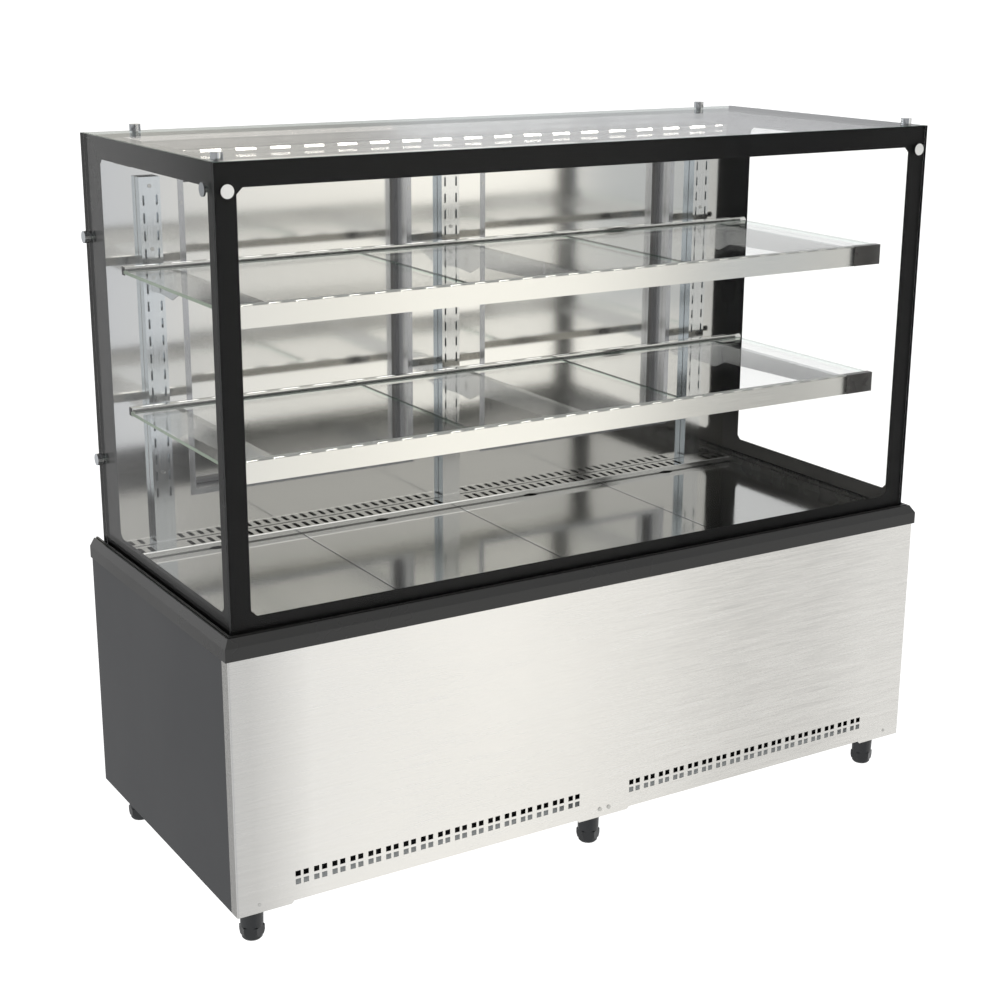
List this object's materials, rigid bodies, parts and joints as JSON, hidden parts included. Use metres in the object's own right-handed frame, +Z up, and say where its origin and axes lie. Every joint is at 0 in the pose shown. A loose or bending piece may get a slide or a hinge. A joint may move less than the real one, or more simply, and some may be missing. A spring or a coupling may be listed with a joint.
{
  "type": "refrigerated bakery display case",
  "caption": "Free-standing refrigerated bakery display case: square glass box with black borders and glass shelves over a stainless steel base with vents, feet and hinged rear doors.",
  "frame": {"origin": "on the floor, under the middle of the whole outline seen from above (the base itself is centred 22.5 mm in front of it because the door handles stand out behind)", "axes": "+X towards the right end seen from the customer side, +Y towards the rear (the front faces -Y), +Z up"},
  "size_m": [1.5, 0.685, 1.332],
  "materials": {
    "brushed_stainless": "horizontal brushed",
    "satin_stainless": "satin",
    "mirror_stainless": "polished",
    "tub_steel": "satin",
    "galvanised_steel": "galvanised",
    "grey_panel": "satin",
    "dark_trim": "semi-gloss",
    "jamb_grey": "satin",
    "black_enamel": "gloss",
    "clear_glass": "polished",
    "shelf_glass": "polished",
    "chrome": "polished",
    "black_plastic": "satin",
    "dark_plastic": "satin",
    "grey_button": "matte",
    "black_rubber": "matte",
    "black_steel": "semi-gloss",
    "aluminium": "satin",
    "copper": "dull",
    "led": "lit white lens"
  },
  "bodies": {
    "case": {"chassis": "galvanised_steel", "foot_sockets": "black_plastic", "side_panel_left": "grey_panel", "side_panel_right": "grey_panel", "front_panel": "brushed_stainless", "rear_panel": "brushed_stainless", "bumper": "dark_trim", "glass_channel": "black_rubber", "breaker_strip": "dark_plastic", "insulated_tub": "tub_steel", "deck_panels": "mirror_stainless", "air_grille": "satin_stainless", "rear_frame": "mirror_stainless", "opening_liners": "jamb_grey", "hinge_brackets": "satin_stainless", "front_glass": "clear_glass", "side_glass_left": "clear_glass", "side_glass_right": "clear_glass", "top_glass": "clear_glass", "frit_borders": "black_enamel", "glass_clamps": "chrome", "corner_blocks": "black_plastic", "uprights": "satin_stainless", "fasteners": "chrome", "shelf_arms": "satin_stainless", "shelf_glass_upper": "shelf_glass", "shelf_glass_lower": "shelf_glass", "front_rails": "brushed_stainless", "rail_trims": "dark_plastic", "rear_rails": "mirror_stainless", "canopy_light": "satin_stainless", "led_strips": "led", "evaporator_coil": "aluminium", "evap_fan_plate": "tub_steel", "compressor": "black_steel", "condenser_coil": "aluminium", "condenser_shroud": "black_steel", "pipework": "copper", "electrical_box": "galvanised_steel", "condensate_tray": "black_plastic", "controller": "black_plastic", "power_cord": "black_rubber"},
    "door_l": {"door_left": "mirror_stainless", "door_seal_left": "black_rubber"},
    "door_r": {"door_right": "mirror_stainless", "door_seal_right": "black_rubber"},
    "evap_fan_l": {"evap_fan_left": "black_plastic"},
    "evap_fan_r": {"evap_fan_right": "black_plastic"},
    "cond_fan": {"condenser_fan": "aluminium"},
    "btn_set": {"button_set": "grey_button"},
    "btn_up": {"button_up": "grey_button"},
    "btn_down": {"button_down": "grey_button"},
    "rocker_power": {"power_switch": "black_plastic"},
    "rocker_light": {"light_switch": "black_plastic"},
    "leveller_1": {"foot_1": "black_steel"},
    "leveller_2": {"foot_2": "black_steel"},
    "leveller_3": {"foot_3": "black_steel"},
    "leveller_4": {"foot_4": "black_steel"},
    "leveller_5": {"foot_5": "black_steel"},
    "leveller_6": {"foot_6": "black_steel"}
  },
  "joints": [
    {"name": "door_left_hinge", "type": "hinge", "parent": "case", "child": "door_l", "pos_m": [-0.562, 0.2995, 0.938], "axis": [0, 0, 1], "range_deg": [0, 100]},
    {"name": "door_right_hinge", "type": "hinge", "parent": "case", "child": "door_r", "pos_m": [0.562, 0.2995, 0.938], "axis": [0, 0, -1], "range_deg": [0, 100]},
    {"name": "evap_fan_left_spin", "type": "hinge", "parent": "case", "child": "evap_fan_l", "pos_m": [-0.3, 0.0535, 0.486], "axis": [0, 1, 0], "continuous": true},
    {"name": "evap_fan_right_spin", "type": "hinge", "parent": "case", "child": "evap_fan_r", "pos_m": [0.3, 0.0535, 0.486], "axis": [0, 1, 0], "continuous": true},
    {"name": "condenser_fan_spin", "type": "hinge", "parent": "case", "child": "cond_fan", "pos_m": [-0.43, -0.1785, 0.24], "axis": [0, 1, 0], "continuous": true},
    {"name": "button_set_press", "type": "slide", "parent": "case", "child": "btn_set", "axis": [0, -1, 0], "range_m": [0, 0.001]},
    {"name": "button_up_press", "type": "slide", "parent": "case", "child": "btn_up", "axis": [0, -1, 0], "range_m": [0, 0.001]},
    {"name": "button_down_press", "type": "slide", "parent": "case", "child": "btn_down", "axis": [0, -1, 0], "range_m": [0, 0.001]},
    {"name": "power_rocker", "type": "hinge", "parent": "case", "child": "rocker_power", "pos_m": [0.596, 0.2998, 0.34], "axis": [1, 0, 0], "range_deg": [-9, 9]},
    {"name": "light_rocker", "type": "hinge", "parent": "case", "child": "rocker_light", "pos_m": [0.63, 0.2998, 0.34], "axis": [1, 0, 0], "range_deg": [-9, 9]},
    {"name": "foot_1_level", "type": "slide", "parent": "case", "child": "leveller_1", "axis": [0, 0, -1], "range_m": [0, 0.015]},
    {"name": "foot_2_level", "type": "slide", "parent": "case", "child": "leveller_2", "axis": [0, 0, -1], "range_m": [0, 0.015]},
    {"name": "foot_3_level", "type": "slide", "parent": "case", "child": "leveller_3", "axis": [0, 0, -1], "range_m": [0, 0.015]},
    {"name": "foot_4_level", "type": "slide", "parent": "case", "child": "leveller_4", "axis": [0, 0, -1], "range_m": [0, 0.015]},
    {"name": "foot_5_level", "type": "slide", "parent": "case", "child": "leveller_5", "axis": [0, 0, -1], "range_m": [0, 0.015]},
    {"name": "foot_6_level", "type": "slide", "parent": "case", "child": "leveller_6", "axis": [0, 0, -1], "range_m": [0, 0.015]}
  ]
}
